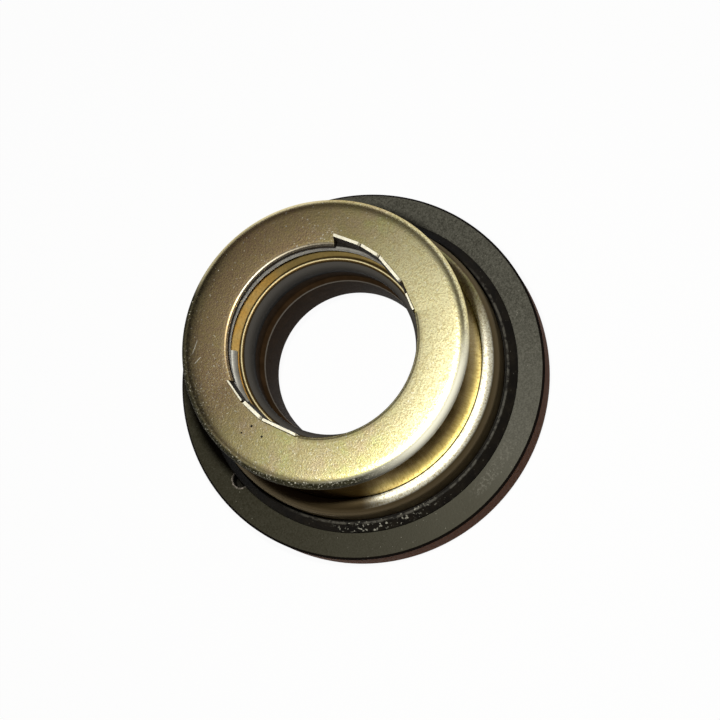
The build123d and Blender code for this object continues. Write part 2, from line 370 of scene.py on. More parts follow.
# Painted shade for the inside of the hole and the lips' inner walls
WALL_SHADE_DARK = (0.012, 0.008, 0.004, 1)
WALL_SHADE_PALE = (0.030, 0.020, 0.010, 1)
# Painted highlight on the shell's shoulder
SHOULDER_HIGHLIGHT = (0.97, 0.95, 0.82, 1)
SHOULDER_GRAIN = (0.36, 0.27, 0.09, 1)
# Painted shade for the shell's sides, in real drawn stripes of the two
SHELL_SHADE_DARK = (0.050, 0.034, 0.014, 1)
SHELL_SHADE_BROWN = (0.085, 0.060, 0.028, 1)
# Painted highlight line on the shell's outer rounding
SHELL_HIGHLIGHT_LINE = (0.42, 0.34, 0.24, 1)

# Spring seat and spring
SEAT_ORANGE = (0.95, 0.55, 0.13, 1)
SEAT_GOLD = (0.90, 0.60, 0.20, 1)
# Painted shade on the spring seat away from its lit side
SEAT_SHADE_OLIVE = (0.34, 0.24, 0.08, 1)
# Painted shade and painted highlight on the collar
COLLAR_SHADE_BROWN = (0.16, 0.10, 0.035, 1)
COLLAR_CREST_HIGHLIGHT = (0.78, 0.68, 0.40, 1)
WIRE_PALE = (0.58, 0.565, 0.52, 1)
WIRE_GREY = (0.44, 0.425, 0.39, 1)
# Painted shadow on the spring wire
WIRE_SHADOW_BLACK = (0.010, 0.008, 0.006, 1)

# Rubber
RUBBER_BLACK = (0.0045, 0.0033, 0.002, 1)
RUBBER_BROWN = (0.013, 0.010, 0.006, 1)
RUBBER_DUST = (0.30, 0.29, 0.24, 1)
# Painted highlight along the rubber lip's edge
LIP_EDGE_HIGHLIGHT = (0.075, 0.070, 0.058, 1)
FLAKE_PALE = (0.42, 0.41, 0.35, 1)
BORE_BROWN = (0.026, 0.014, 0.006, 1)
BORE_PALE = (0.040, 0.022, 0.010, 1)
BORE_BLACK = (0.010, 0.008, 0.006, 1)
# Painted highlights inside the neck
TIP_HIGHLIGHT = (0.070, 0.065, 0.060, 1)
GRIP_HIGHLIGHT_LINE = (0.13, 0.115, 0.10, 1)

# Seal ring
RING_GREY = (0.034, 0.033, 0.026, 1)
RING_PALE = (0.046, 0.045, 0.036, 1)
RING_GRAIN = (0.125, 0.122, 0.102, 1)
RING_SHADE = (0.018, 0.015, 0.004, 1)
RING_SCUFF = (0.22, 0.21, 0.18, 1)
RING_SPECK = (0.26, 0.25, 0.21, 1)
RING_TINT = (1.0, 0.97, 0.82, 1)
# Painted highlight round the notch, and painted shade below the ring's top face
NOTCH_HIGHLIGHT = (0.32, 0.28, 0.25, 1)
NOTCH_SHADE_BLACK = (0.008, 0.006, 0.004, 1)
RIM_BROWN = (0.15, 0.060, 0.030, 1)
# Redder patches of the rim's reddish brown
RIM_REDDER = (0.22, 0.095, 0.050, 1)
RIM_BLACK = (0.006, 0.004, 0.003, 1)

# Sectors round the axis in degrees: middle, half width, soft edge
# Painted shade and painted light on the cup's face
CUP_SHADED_SIDE = (108.0, 42.0, 55.0)
CUP_LIT_SIDE = (-45.0, 25.0, 45.0)
CUP_OLIVE_EDGE = (131.0, 26.0, 26.0)
CUP_ROLLED_SIDE = (68.0, 30.0, 8.0)
# Painted highlight on the bead
BEAD_HIGHLIGHT_SIDE = (-95.0, 30.0, 26.0)
# Painted shade on the bead, and where it is not metallic
BEAD_SHADED_SIDE = (160.0, 75.0, 35.0)
BEAD_DULL_SIDE = (155.0, 42.0, 30.0)
# Painted highlight line on the bead
BEAD_LINE_HIGHLIGHT_SIDE = (74.0, 24.0, 14.0)
# Painted glints, more of them on this side and in a cluster by the hole
GLITTER_SIDE = (-160.0, 45.0, 35.0)
CLUSTER_SIDE = (42.0, 3.0, 7.0)
# Painted shadow on the cup's skirt
SKIRT_SHADOW_SIDE = (183.0, 25.0, 55.0)
# Painted shadow on the shell
SHELL_SHADOW_SIDE = (188.0, 40.0, 14.0)
SHELL_LIT_SIDE = (-90.0, 45.0, 30.0)
# Painted highlight line on the shell
SHELL_HIGHLIGHT_LINE_SIDE = (-154.0, 9.0, 5.0)
# Lit side of the spring seat, the only place where it keeps its orange-gold
SEAT_LIT_SIDE = (128.0, 22.0, 40.0)
# Painted highlight on the rubber lip
LIP_HIGHLIGHT_SIDE = (-85.0, 60.0, 25.0)
LIP_FLAKED_SIDE = (-126.0, 14.0, 8.0)
RING_DARK_SIDE = (-160.0, 60.0, 35.0)
RING_SCUFF_SIDE = (-83.5, 8.0, 5.0)

# Marks on the cup's face: specks as (angle, radius, size), scratches from one (angle, radius) to another
SPECKS = [(182.7, 13.65, 0.13), (180.8, 15.09, 0.10), (190.5, 13.98, 0.12)]
SCRATCHES = [((129.5, 16.1), (136.0, 16.75)), ((137.5, 15.6), (140.5, 16.6))]
SCRATCH_HALF = 0.035
SCRATCH_TAPER = 0.2

# Levels and radii in millimetres where a finish changes
FACE_DROP = 0.4
# Levels where the skirt's painted shade begins and is full
SKIRT_SHADE_START = 13.2
SKIRT_SHADE_FULL = 19.0
SKIRT_STRIPE = 0.35
SKIRT_DRIFT = 0.6
SHOULDER_EDGE = 19.05
# Levels of the shell's painted highlight line
SHELL_HIGHLIGHT_LINE_BAND = (10.45, 10.6)
# Band of the lip's painted highlight
LIP_HIGHLIGHT_BAND = (20.25, 20.5)
LIP_FLAKED_BAND = (20.2, 21.3)
RING_SCUFF_BAND = (22.2, 23.3)
# Level above which the wire's painted shadow starts
WIRE_SHADOW_LEVEL = 22.0
TIP_SHINE = 19.2

# Noise settings: scale, detail, roughness
ZINC_NOISE = (4.6, 3.0, 0.7)
RUBBER_NOISE = (5.0, 3.0, 0.6)
RING_NOISE = (4.6, 3.0, 0.75)


def scratch(s, start, end):
    """Mask of a thin line on the cup's face between two places (angle, radius)."""
    a = polar(*start, CUP_TOP) / MM
    b = polar(*end, CUP_TOP) / MM
    along = (b - a).normalized()
    across = Vector((-along.y, along.x, 0))
    offset = s.vector("SUBTRACT", s.place, a)
    run = s.dot(offset, along)
    aside = s.math("ABSOLUTE", s.dot(offset, across))
    line = s.ramp(aside, SCRATCH_HALF, SCRATCH_HALF * 2.5, 1.0, 0.0)
    length = (b - a).length
    return s.times(line, s.band(run, SCRATCH_TAPER, length - SCRATCH_TAPER, SCRATCH_TAPER))


def zinc_colour(s, seed):
    """Yellow passivation with green and rose clouds."""
    cloud = s.ramp(s.noise(0.22, 3.0, seed=seed), 0.38, 0.62)
    hue = s.ramp(s.noise(0.5, 2.0, seed=seed + 3), 0.40, 0.66)
    return s.mix(hue, s.mix(cloud, ZINC_YELLOW, ZINC_GREEN), ZINC_ROSE)


def face_colour(s, grain):
    """Cup's face: clouded, with painted light in pale gold on one side and painted shade in brown on the
    other, olive along part of its edge.
    """
    # Painted light: the face pale gold on the side towards the lamp
    colour = s.mix(s.times(s.sector(*CUP_LIT_SIDE), 0.85), zinc_colour(s, 4), ZINC_LIT_PALE)
    # Painted shade: the face brown on the side away from the lamp
    brown = s.times(s.sector(*CUP_SHADED_SIDE), s.ramp(s.noise(0.3, 2.0, seed=5), 0.2, 0.6, 0.7, 1.0))
    colour = s.mix(brown, colour, ZINC_SHADE_BROWN)
    colour = s.mix(s.ramp(grain, 0.42, 0.60, 0.0, 0.8), colour, ZINC_GRAIN)
    outward = s.ramp(s.radius, CUP_FACE - 1.6, CUP_FACE + 0.6, smooth=True)
    edge = s.times(outward, s.sector(*CUP_OLIVE_EDGE))
    return s.mix(s.times(edge, s.ramp(grain, 0.3, 0.7, 1.0, 0.55)), colour, ZINC_OLIVE)


def glint_and_scratch_mask(s, face):
    """Painted glints all over the face, more of them on one side and in a cluster by the hole, and the
    scratches, real marks painted bright like glints.
    """
    glints = s.ramp(s.noise(3.6, 1.0, 0.5, seed=6), 0.69, 0.74)
    glitter = s.times(s.ramp(s.noise(4.2, 2.0, 0.6, seed=10), 0.58, 0.70), s.sector(*GLITTER_SIDE))
    glints = s.most(glints, s.times(glitter, 0.7))
    cluster = s.times(s.ramp(s.noise(4.5, 1.0, 0.5, seed=7), 0.58, 0.66), s.sector(*CLUSTER_SIDE))
    glints = s.most(glints, s.times(cluster, s.ramp(s.radius, 13.2, 15.2, 1.0, 0.0)))
    for start, end in SCRATCHES:
        glints = s.most(glints, scratch(s, start, end))
    return s.times(glints, face)


def skirt_colour(s, streak):
    """Cup's skirt: yellow at the foot, painted shade in brown above, and painted shadow all the way down on
    one side.
    """
    stripes = s.ramp(streak, 0.38, 0.62, -SKIRT_STRIPE, SKIRT_STRIPE)
    drift = s.noise(1.1, 2.0, place=s.around(0.0, 1.0, 0.0), seed=14)
    drift = s.ramp(drift, 0.3, 0.7, -SKIRT_DRIFT, SKIRT_DRIFT)
    height = s.math("ADD", s.z, s.math("ADD", stripes, drift))
    # Painted shade: brown from a ragged level upward
    skirt_shade = s.ramp(height, SKIRT_SHADE_START, SKIRT_SHADE_FULL, smooth=True)
    # Painted shadow: dark all the way down on the side in the bead's shadow
    skirt_shade = s.most(skirt_shade, s.sector(*SKIRT_SHADOW_SIDE))
    return s.mix(skirt_shade, SKIRT_YELLOW, SKIRT_SHADE_BROWN)


def speck_mask(s):
    """Black specks on the cup's face."""
    mask = 0.0
    for angle, radius, size in SPECKS:
        away = s.distance(polar(angle, radius, CUP_TOP) / MM)
        mask = s.most(mask, s.ramp(away, size, size * 1.6, 1.0, 0.0, smooth=True))
    return mask


def cup_material():
    """Spring cup: grainy satin face with painted glints, its bead with painted highlights on two sides and
    painted shade on another, smooth skirt with painted shade and painted shadow.
    """
    s = Shader("cup_zinc")
    face = s.ramp(s.z, CUP_BEAD_LEVEL, CUP_TOP - FACE_DROP, smooth=True)
    skirt = s.ramp(s.z, CUP_BEAD_LEVEL - 0.25, CUP_BEAD_LEVEL + 0.05, 1.0, 0.0, smooth=True)
    grain = s.noise(*ZINC_NOISE, seed=1)
    streak = s.noise(14.0, 2.0, place=s.around(0.0, 1.0, 0.004), seed=2)
    colour = face_colour(s, grain)
    flank = s.ramp(s.radius, CUP_FACE + 0.4, CUP_FACE + 0.9, smooth=True)
    flank = s.times(flank, s.inverse(skirt))
    # Painted highlight: the bead's flank towards the lamp near white, and not metallic
    bright = s.times(flank, s.sector(*BEAD_HIGHLIGHT_SIDE))
    colour = s.mix(bright, colour, BEAD_HIGHLIGHT)
    # Painted shade: the bead's flank away from the lamp near black, and in part not metallic, so that it
    # shows no reflection
    bead_shade = s.times(flank, s.sector(*BEAD_SHADED_SIDE))
    colour = s.mix(bead_shade, colour, s.patches(grain, BEAD_SHADE_DARK, BEAD_SHADE_PALE, 0.4, 0.62))
    bead_unreflecting = s.times(flank, s.sector(*BEAD_DULL_SIDE))
    # Painted glints, and the scratches painted bright
    colour = s.mix(glint_and_scratch_mask(s, face), colour, GLINT_BRIGHT)
    colour = s.mix(skirt, colour, skirt_colour(s, streak))
    # Painted highlight: a pale line on the bead's outer flank on one side
    highlight_patches = s.times(s.sector(*BEAD_LINE_HIGHLIGHT_SIDE), s.ramp(s.radius, CUP_FACE + 0.5, CUP_FACE + 0.9))
    colour = s.mix(highlight_patches, colour, BEAD_LINE_HIGHLIGHT)
    inward = s.ramp(s.radius, CUP_HOLE + 0.45, CUP_HOLE + 0.6, 1.0, 0.0)
    colour = s.mix(s.times(inward, s.sector(*CUP_ROLLED_SIDE)), colour, ROLLED_GREY)
    speck = speck_mask(s)
    colour = s.mix(speck, colour, BLACK_SPECK)
    rough_face = s.times(s.inverse(skirt), s.roughness(grain, 0.29, 0.44))
    rough_skirt = s.times(skirt, s.roughness(streak, 0.10, 0.16))
    rough = s.math("ADD", rough_face, rough_skirt)
    rough = s.most(rough, s.times(bead_shade, 0.75))
    rough = s.most(rough, s.times(speck, 0.8))
    sanded = s.times(face, s.ramp(s.radius, CUP_HOLE + 0.4, CUP_HOLE + 0.8))
    normal = s.bump(s.times(grain, sanded), 0.022)
    normal = s.bump(s.times(streak, skirt), 0.0015, after=normal)
    dull = s.most(s.most(speck, bright), bead_unreflecting)
    return s.finish(colour, rough, normal, s.inverse(dull), specular=0.1, tint=ZINC_TINT)


def torn_material():
    """Torn edge of the lips: bright bare metal."""
    s = Shader("torn_edge")
    grain = s.noise(5.0, 2.0, seed=8)
    colour = s.patches(grain, TORN_DULL, TORN_BRIGHT)
    return s.finish(colour, s.roughness(grain, 0.35, 0.5), s.bump(grain, 0.01), metallic=0.15)


def hole_wall_material():
    """Sheared inside of the hole and its lips: painted dark as shade, and dull."""
    s = Shader("hole_wall")
    grain = s.noise(4.0, 2.0, seed=9)
    # Painted shade: the walls near black
    colour = s.patches(grain, WALL_SHADE_DARK, WALL_SHADE_PALE)
    return s.finish(colour, s.roughness(grain, 0.5, 0.7), s.bump(grain, 0.01), specular=0.1)


def shell_material():
    """Shell: painted highlight on the rolled shoulder's lit side, sides painted dark as shade with faint
    lines round them, painted shadow on one side, and a painted highlight line.
    """
    s = Shader("shell_zinc")
    grain = s.noise(*ZINC_NOISE, seed=11)
    stripe = s.noise(1.0, 2.0, place=s.around(0.0, 0.5, 3.0), seed=12)
    # Painted shade: the sides dark brown; painted shadow: the whole shell dark on the side where the cup's
    # shadow falls
    side = s.ramp(s.radius, SHOULDER_EDGE, SHOULDER_EDGE + 0.3, smooth=True)
    side = s.most(side, s.sector(*SHELL_SHADOW_SIDE))
    # Painted highlight: the shoulder near white on the side towards the lamp
    lit = s.sector(*SHELL_LIT_SIDE)
    top = s.mix(lit, zinc_colour(s, 13), SHOULDER_HIGHLIGHT)
    top = s.mix(s.ramp(grain, 0.46, 0.60, 0.0, 0.7), top, SHOULDER_GRAIN)
    colour = s.mix(side, top, s.patches(stripe, SHELL_SHADE_DARK, SHELL_SHADE_BROWN, 0.35, 0.65))
    # Painted highlight: a pale line on the outer rounding on one side
    line = s.times(s.band(s.z, *SHELL_HIGHLIGHT_LINE_BAND, 0.08), s.sector(*SHELL_HIGHLIGHT_LINE_SIDE))
    colour = s.mix(line, colour, SHELL_HIGHLIGHT_LINE)
    dull = s.times(s.times(lit, 0.5), s.inverse(side))
    dull = s.most(dull, s.times(side, 0.4))
    rough = s.roughness(grain, 0.36, 0.44)
    return s.finish(colour, rough, s.bump(grain, 0.012), s.inverse(dull), tint=ZINC_TINT)


def seat_material():
    """Spring seat: orange-gold passivation on its lit side and painted olive as shade elsewhere, the collar
    painted dark brown as shade with a painted highlight on its crest.
    """
    s = Shader("seat_zinc")
    grain = s.noise(4.0, 3.0, 0.6, seed=21)
    colour = s.patches(s.noise(0.4, 2.0, seed=22), SEAT_ORANGE, SEAT_GOLD)
    # Painted light and shade: orange-gold on the lit side, olive elsewhere
    colour = s.mix(s.sector(*SEAT_LIT_SIDE), SEAT_SHADE_OLIVE, colour)
    outside = SEAT_HOLE + SEAT_SHEET
    collar = s.ramp(s.radius, outside + 0.1, outside + 0.25, 1.0, 0.0)
    # Painted shade: the collar dark brown
    colour = s.mix(collar, colour, COLLAR_SHADE_BROWN)
    # Painted highlight: a thin pale line on the collar's crest
    crest = s.band(s.radius, SEAT_HOLE + 0.24, SEAT_HOLE + 0.33, 0.05)
    crest = s.times(crest, s.ramp(s.z, COLLAR_TOP - 0.1, COLLAR_TOP - 0.05))
    colour = s.mix(crest, colour, COLLAR_CREST_HIGHLIGHT)
    return s.finish(colour, s.roughness(grain, 0.36, 0.5), s.bump(grain, 0.01), metallic=0.75)


def wire_material():
    """Spring wire: dull grey drawn steel, painted black as shadow outside and above, where the cup's sheet
    shades it.
    """
    s = Shader("wire_steel")
    grain = s.noise(6.0, 3.0, seed=31)
    colour = s.patches(s.noise(0.7, 2.0, seed=32), WIRE_PALE, WIRE_GREY)
    # Painted shadow: the wire black and not metallic outside and above
    outside = s.ramp(s.radius, SPRING_RADIUS - 0.55, SPRING_RADIUS - 0.35)
    wire_shadow = s.times(outside, s.ramp(s.z, WIRE_SHADOW_LEVEL, WIRE_SHADOW_LEVEL + 0.6))
    colour = s.mix(wire_shadow, colour, WIRE_SHADOW_BLACK)
    metallic = s.times(s.inverse(wire_shadow), 0.6)
    return s.finish(colour, s.roughness(grain, 0.40, 0.55), s.bump(grain, 0.01), metallic, specular=0.05)


def rubber_material():
    """Moulded rubber: soft sheen, faint grain, pale dust and flakes on the flange, and a painted highlight
    along the lip's edge, broken in chips.
    """
    s = Shader("black_rubber")
    grain = s.noise(*RUBBER_NOISE, seed=41)
    colour = s.patches(s.noise(0.8, 3.0, seed=42), RUBBER_BLACK, RUBBER_BROWN, 0.4, 0.7)
    dust = s.ramp(s.noise(4.5, 2.0, 0.7, seed=43), 0.68, 0.76)
    dust = s.times(dust, s.ramp(s.radius, FLANGE_RADIUS - 3.0, FLANGE_RADIUS - 2.0))
    colour = s.mix(dust, colour, RUBBER_DUST)
    # Painted highlight: a pale line on the lip's edge on one side, broken in chips
    highlight_patches = s.ramp(s.noise(1.6, 3.0, 0.6, seed=46), 0.42, 0.56)
    chipped_highlight = s.times(s.band(s.radius, *LIP_HIGHLIGHT_BAND, 0.06), highlight_patches)
    colour = s.mix(s.times(chipped_highlight, s.sector(*LIP_HIGHLIGHT_SIDE)), colour, LIP_EDGE_HIGHLIGHT)
    flake = s.times(s.band(s.radius, *LIP_FLAKED_BAND, 0.15), s.sector(*LIP_FLAKED_SIDE))
    flake = s.times(flake, s.ramp(s.noise(2.6, 2.0, 0.6, seed=47), 0.60, 0.66))
    colour = s.mix(flake, colour, FLAKE_PALE)
    return s.finish(colour, s.roughness(grain, 0.42, 0.6), s.bump(grain, 0.01), specular=0.14)


def bore_material():
    """Inside of the neck: brown rubber below, black above, a painted highlight on the rounded tip and a
    painted highlight line at the top of the grip.
    """
    s = Shader("rubber_bore")
    grain = s.noise(*RUBBER_NOISE, seed=44)
    colour = s.patches(s.noise(0.8, 3.0, seed=45), BORE_BROWN, BORE_PALE, 0.4, 0.7)
    colour = s.mix(s.ramp(s.z, GROOVE_TOP - 0.6, GROOVE_TOP + 0.2), colour, BORE_BLACK)
    # Painted highlight on the rounded tip
    colour = s.mix(s.band(s.z, TIP_SHINE, NECK_TIP + 0.1, 1.1), colour, TIP_HIGHLIGHT)
    # Painted highlight line at the top of the grip
    colour = s.mix(s.band(s.z, GRIP_TOP - 0.05, GRIP_TOP + 0.08, 0.06), colour, GRIP_HIGHLIGHT_LINE)
    return s.finish(colour, s.roughness(grain, 0.6, 0.75), s.bump(grain, 0.01), specular=0.03)


def ring_material():
    """Seal ring: fine dense grain, darker on one side, scuffs, pale specks, a painted highlight round the
    notch's edge and painted shade below the top face.
    """
    s = Shader("ring_grey")
    grain = s.noise(*RING_NOISE, seed=51)
    colour = s.patches(s.noise(0.18, 3.0, seed=52), RING_GREY, RING_PALE, 0.35, 0.65)
    colour = s.mix(s.ramp(grain, 0.38, 0.64), colour, RING_GRAIN)
    colour = s.mix(s.times(s.sector(*RING_DARK_SIDE), 0.75), colour, RING_SHADE)
    scuff = s.times(s.band(s.radius, *RING_SCUFF_BAND, 0.5), s.sector(*RING_SCUFF_SIDE))
    scuff = s.times(scuff, s.ramp(s.noise(2.6, 3.0, 0.7, seed=55), 0.50, 0.62))
    colour = s.mix(s.times(scuff, 0.45), colour, RING_SCUFF)
    speck = s.ramp(s.noise(3.6, 1.0, 0.6, seed=53), 0.73, 0.77)
    colour = s.mix(speck, colour, RING_SPECK)
    # Painted highlight: a broken pale outline round the notch's edge
    away = s.distance(polar(NOTCH_ANGLE, NOTCH_CENTRE, RING_TOP) / MM)
    highlight_patches = s.ramp(s.noise(2.2, 2.0, 0.7, seed=56), 0.40, 0.60)
    highlight_patches = s.times(s.band(away, NOTCH_RADIUS, NOTCH_RADIUS + 0.14, 0.1), highlight_patches)
    colour = s.mix(highlight_patches, colour, NOTCH_HIGHLIGHT)
    # Painted shade: everything below the top face, the notch's walls among it, near black
    colour = s.mix(s.ramp(s.z, RING_TOP - 0.5, RING_TOP - 0.1), NOTCH_SHADE_BLACK, colour)
    rough = s.roughness(grain, 0.42, 0.58)
    return s.finish(colour, rough, s.bump(grain, 0.02), specular=0.24, tint=RING_TINT)


def rim_material():
    """Turned side of the seal ring: dull reddish brown with fine lines round it."""
    s = Shader("ring_rim")
    turned = s.noise(1.0, 3.0, place=s.around(0.0, 0.4, 5.0), seed=54)
    colour = s.patches(turned, RIM_BROWN, RIM_REDDER)
    bottom = NOSE_HEIGHT + RING_EDGE
    top = RING_TOP - RING_EDGE
    low = s.ramp(s.z, bottom, bottom + 0.2, 1.0, 0.0)
    high = s.ramp(s.z, top - 0.2, top)
    colour = s.mix(s.most(low, high), colour, RIM_BLACK)
    return s.finish(colour, s.roughness(turned, 0.6, 0.75), s.bump(turned, 0.01), specular=0.04)


# ---------------------------------------------------------------- pieces
RING_SEGMENTS = 720
SHELL_SEGMENTS = 720
CUP_SEGMENTS = 1080
RUBBER_SEGMENTS = 480
SEAT_SEGMENTS = 480
EDGE_BREAK = 0.05


def quarter(steps):
    """Sines and cosines of the angles of a quarter turn, from 0 to 90 degrees."""
    turns = [math.pi / 2 * k / steps for k in range(steps + 1)]
    return [(math.sin(turn), math.cos(turn)) for turn in turns]


# Seal ring
NOTCH_SIDES = 48
NOTCH_CLEAR = 1.0
RIM_REACH = 0.26


def notch_cutter(material):
    """Round cutter for the drive notch, reaching past the top of the ring."""
    points = []
    for level in (RING_TOP - NOTCH_DEPTH, RING_TOP + NOTCH_CLEAR):
        centre = polar(NOTCH_ANGLE, NOTCH_CENTRE, level)
        for k in range(NOTCH_SIDES):
            turn = 2 * math.pi * k / NOTCH_SIDES
            points.append(centre + Vector((math.cos(turn), math.sin(turn), 0)) * NOTCH_RADIUS * MM)
    faces = [tuple(reversed(range(NOTCH_SIDES))), tuple(range(NOTCH_SIDES, 2 * NOTCH_SIDES))]
    for k in range(NOTCH_SIDES):
        m = (k + 1) % NOTCH_SIDES
        faces.append((k, m, NOTCH_SIDES + m, NOTCH_SIDES + k))
    return make_object("notch_cutter", points, faces, material, smooth=False)


def build_seal_ring():
    """Turned ring with its drive notch cut in, and a second finish on its outer side."""
    corners = [
        (RING_BORE, NOSE_HEIGHT, 0),
        (NOSE_INNER, NOSE_HEIGHT, 0.1),
        (NOSE_INNER, 0, 0.08),
        (NOSE_OUTER, 0, 0.08),
        (NOSE_OUTER, NOSE_HEIGHT, 0.1),
        (RING_RADIUS - RING_EDGE, NOSE_HEIGHT, EDGE_BREAK),
        (RING_RADIUS, NOSE_HEIGHT + RING_EDGE, EDGE_BREAK),
        (RING_RADIUS, RING_TOP - RING_EDGE, EDGE_BREAK),
        (RING_RADIUS - RING_EDGE, RING_TOP, EDGE_BREAK),
        (HUB_RADIUS, RING_TOP, EDGE_BREAK),
        (HUB_RADIUS, HUB_TOP, 0.3),
        (RING_BORE, HUB_TOP, 0.3),
    ]
    outline = rounded(corners, 4)
    piece = lathe("seal_ring_turned", lambda angle: outline, RING_SEGMENTS, ring_material())
    cutter = notch_cutter(piece.data.materials[0])
    cut = piece.modifiers.new("notch", "BOOLEAN")
    cut.object = cutter
    cut.operation = "DIFFERENCE"
    cut.solver = "EXACT"
    bpy.context.view_layer.update()
    evaluated = piece.evaluated_get(bpy.context.evaluated_depsgraph_get())
    result = bpy.data.meshes.new_from_object(evaluated)
    piece.modifiers.clear()
    piece.data = result
    bpy.data.objects.remove(cutter)
    result.set_sharp_from_angle(angle=SMOOTH_ANGLE)
    result.materials.append(rim_material())
    for face in result.polygons:
        if face.center.xy.length > (RING_RADIUS - RIM_REACH) * MM:
            face.material_index = 1
    dress(piece, "seal_head", "seal_ring")


# Bellows
COLLAR_GAP = 0.02
TIP_RISE = 0.4
TIP_ROUND_HEIGHT = 1.2
FOLD_BITE = 0.1
FOLD_ROUND = 1.3
LIP_INNER = SHELL_RADIUS + 0.15
LIP_OUTER = SHELL_RADIUS + 0.55
RUBBER_STEPS = 5


def neck_tip_arc():
    """Bulge inside the neck's tip, from the groove up to its rounded top in the collar."""
    crest = NECK_TIP + TIP_RISE - TIP_ROUND_HEIGHT
    edge = SEAT_HOLE - COLLAR_GAP
    points = [(GROOVE_RADIUS, GROOVE_TOP)]
    for sine, cosine in quarter(6)[1:]:
        points.append((GROOVE_RADIUS - (GROOVE_RADIUS - BEAD_RADIUS) * sine,
                       GROOVE_TOP + (crest - GROOVE_TOP) * (1 - cosine)))
    for sine, cosine in quarter(12)[1:]:
        points.append((BEAD_RADIUS + (edge - BEAD_RADIUS) * (1 - cosine), crest + TIP_ROUND_HEIGHT * sine))
    return points


def bellows_outline():
    """Section of the bellows: bore, tip, neck, fold, socket, lip, flange, and back round the hub."""
    bore = [
        (NECK_BORE, HUB_TOP, 0.25),
        (NECK_BORE, GRIP_TOP, 0.2),
        (GROOVE_RADIUS, GRIP_TOP + 0.6, 0.3),
    ]
    edge = SEAT_HOLE - COLLAR_GAP
    seat_ceiling = SEAT_FLOOR - SEAT_SHEET
    hub_edge = HUB_RADIUS + 0.02
    fold_inner = FOLD_RADIUS - FOLD_HALF_GAP
    fold_outer = FOLD_RADIUS + FOLD_HALF_GAP
    fold_ceiling = FOLD_LEVEL + FOLD_HALF_GAP
    fold_inside = fold_inner - FOLD_WALL + FOLD_BITE
    fold_outside = fold_outer + FOLD_WALL
    fold_top = fold_ceiling + FOLD_WALL
    outside = [
        (edge, NECK_TIP, 0),
        (edge, seat_ceiling, 0),
        (NECK_RADIUS, seat_ceiling, 0.1),
        (NECK_RADIUS, FOLD_LEVEL, 0),
        (fold_inside, FOLD_LEVEL, 0),
        (fold_inside, fold_top, FOLD_ROUND),
        (fold_outside, fold_top, FOLD_ROUND),
        (fold_outside, SEAT_FOOT, 0),
        (SEAT_FLANGE, SEAT_FOOT, EDGE_BREAK),
        (SEAT_FLANGE, SHELL_FOOT, 0),
        (LIP_INNER, SHELL_FOOT, 0),
        (LIP_INNER, LIP_LEVEL, 0.1),
        (LIP_OUTER, LIP_LEVEL, 0.1),
        (FLANGE_RADIUS, RING_TOP + 0.35, 0.3),
        (FLANGE_RADIUS, RING_TOP, 0),
        (hub_edge, RING_TOP, 0),
        (hub_edge, HUB_TOP, 0),
        (fold_outer, HUB_TOP, 0),
        (fold_outer, fold_ceiling, 0.7),
        (fold_inner, fold_ceiling, 0.7),
        (fold_inner, HUB_TOP, 0),
    ]
    # Each part is rounded with its neighbours' points at its ends, which then come off again
    arc = neck_tip_arc()
    low = rounded(bore + [(*arc[0], 0), outside[-1]], RUBBER_STEPS)[:-2]
    high = rounded([(*arc[-1], 0)] + outside, RUBBER_STEPS)[1:]
    return low + arc + high


def build_bellows():
    """Moulded rubber, with a second finish inside the neck and on its tip."""
    outline = bellows_outline()
    piece = lathe("bellows_moulded", lambda angle: outline, RUBBER_SEGMENTS, rubber_material())
    piece.data.materials.append(bore_material())
    for face in piece.data.polygons:
        if face.center.xy.length < (SEAT_HOLE - 0.03) * MM:
            face.material_index = 1
    dress(piece, "seal_head", "bellows")


# Shell and spring seat
def build_shell():
    """Drawn shell with its mouth rolled in over the cup."""
    inner = SHELL_RADIUS - SHELL_SHEET
    ceiling = SHELL_TOP - SHELL_SHEET
    corners = [
        (inner, SHELL_FOOT, EDGE_BREAK),
        (SHELL_RADIUS, SHELL_FOOT, EDGE_BREAK),
        (SHELL_RADIUS, SHELL_TOP, SHELL_ROUND),
        (SHELL_MOUTH, SHELL_TOP, EDGE_BREAK),
        (SHELL_MOUTH, ceiling, EDGE_BREAK),
        (inner, ceiling, SHELL_ROUND - SHELL_SHEET),
    ]
    outline = rounded(corners, 10)
    piece = lathe("shell_drawn", lambda angle: outline, SHELL_SEGMENTS, shell_material())
    dress(piece, "seal_head", "shell")


def build_spring_seat():
    """Top-hat pressing with a collar round the neck's tip."""
    inner = SEAT_RADIUS - SEAT_SHEET
    ceiling = SEAT_FLOOR - SEAT_SHEET
    collar = SEAT_HOLE + SEAT_SHEET
    corners = [
        (inner, SEAT_FOOT, 0),
        (SEAT_FLANGE, SEAT_FOOT, EDGE_BREAK),
        (SEAT_FLANGE, SEAT_FOOT + SEAT_SHEET, EDGE_BREAK),
        (SEAT_RADIUS, SEAT_FOOT + SEAT_SHEET, 0.1),
        (SEAT_RADIUS, SEAT_FLOOR, SEAT_ROUND),
        (collar, SEAT_FLOOR, 0.3),
        (collar, COLLAR_TOP, 0.27),
        (SEAT_HOLE, COLLAR_TOP, 0.27),
        (SEAT_HOLE, ceiling, 0.1),
        (inner, ceiling, SEAT_ROUND - SEAT_SHEET),
    ]
    outline = rounded(corners, 7)
    piece = lathe("spring_seat_pressed", lambda angle: outline, SEAT_SEGMENTS, seat_material())
    dress(piece, "seal_head", "spring_seat")


